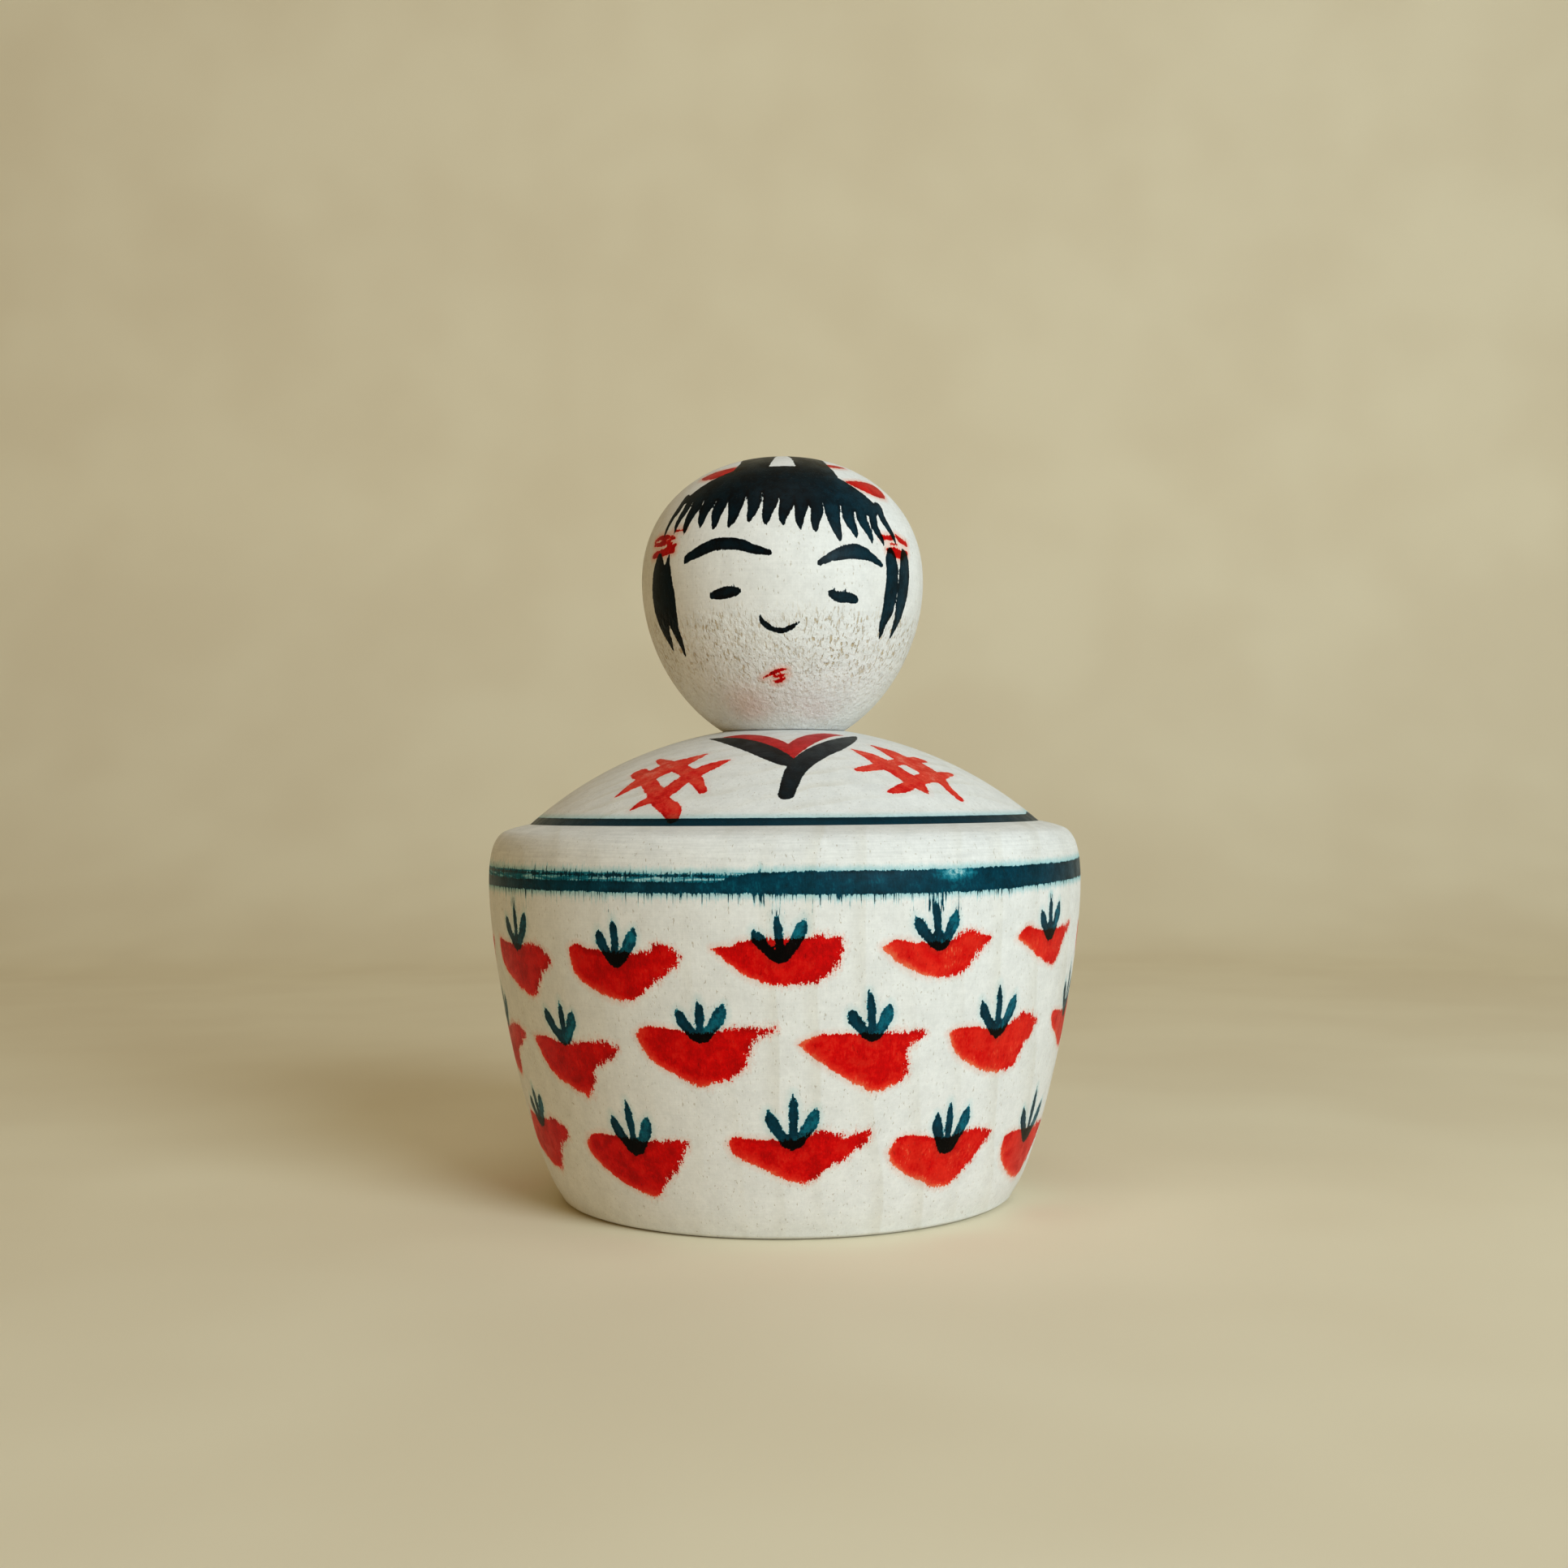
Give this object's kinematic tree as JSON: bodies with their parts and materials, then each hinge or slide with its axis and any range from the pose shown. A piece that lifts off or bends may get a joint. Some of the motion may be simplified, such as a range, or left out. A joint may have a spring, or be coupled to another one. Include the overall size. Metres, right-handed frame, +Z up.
{
  "type": "kokeshi doll",
  "caption": "Turned wooden doll in a round cradle: a hollow pot with painted flowers, a domed shoulder lid that lifts off, and a ball head that turns in the lid.",
  "frame": {"origin": "centre of the foot, on the surface that the doll stands on", "axes": "+Z up the turning axis, through the head; the painted face looks along -Y"},
  "size_m": [0.064, 0.064, 0.08],
  "materials": {
    "cradle_wood": "waxed, with red and blue-green dye flowers",
    "lid_wood": "waxed, with a black and red painted collar",
    "head_wood": "waxed, with black painted hair and features"
  },
  "bodies": {
    "pot": {"cradle_pot": "cradle_wood"},
    "lid": {"shoulder_lid": "lid_wood"},
    "head": {"doll_head": "head_wood"}
  },
  "joints": [
    {"name": "lid_lift", "type": "slide", "parent": "pot", "child": "lid", "axis": [0, 0, 1], "range_m": [0, 0.03]},
    {"name": "head_turn", "type": "hinge", "parent": "lid", "child": "head", "pos_m": [0, 0, 0.0502], "axis": [0, 0, 1], "continuous": true}
  ]
}
